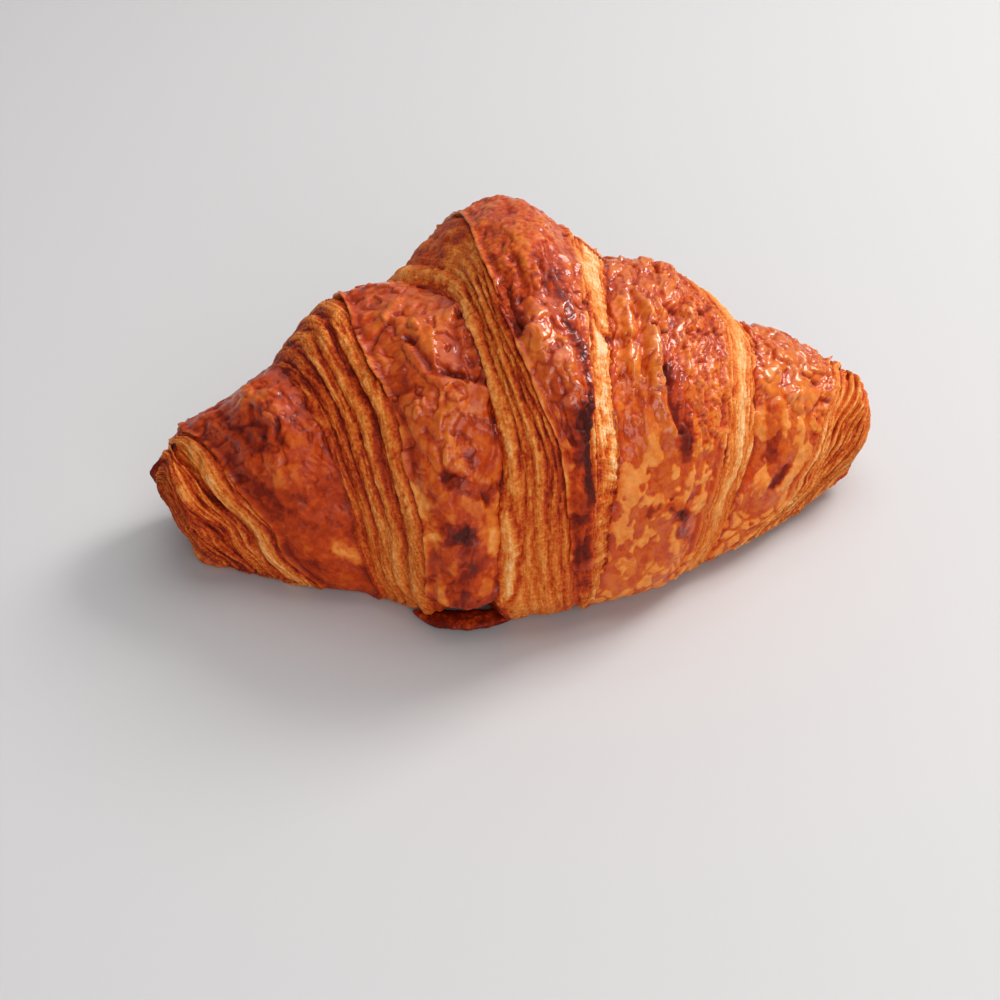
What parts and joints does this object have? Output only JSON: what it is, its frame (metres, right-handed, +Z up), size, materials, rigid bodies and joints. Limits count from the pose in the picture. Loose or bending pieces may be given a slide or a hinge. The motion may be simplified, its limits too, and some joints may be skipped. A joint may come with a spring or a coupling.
{
  "type": "croissant",
  "caption": "Baked crescent roll of layered dough, wound in stepped wraps that taper to two curled tips, resting on a flat underside.",
  "frame": {"origin": "centre of the bounding box's bottom face, on the table under the middle of the roll", "axes": "+X along the roll towards its more golden tip, +Y towards its back, +Z up; the dough's narrow end lies low at the front, on the -Y side"},
  "size_m": [0.163, 0.0972, 0.0726],
  "materials": {
    "baked_crust": "glazed golden to red-brown crust with matte flaky edges"
  },
  "bodies": {
    "root": {"croissant": "baked_crust"}
  },
  "joints": []
}
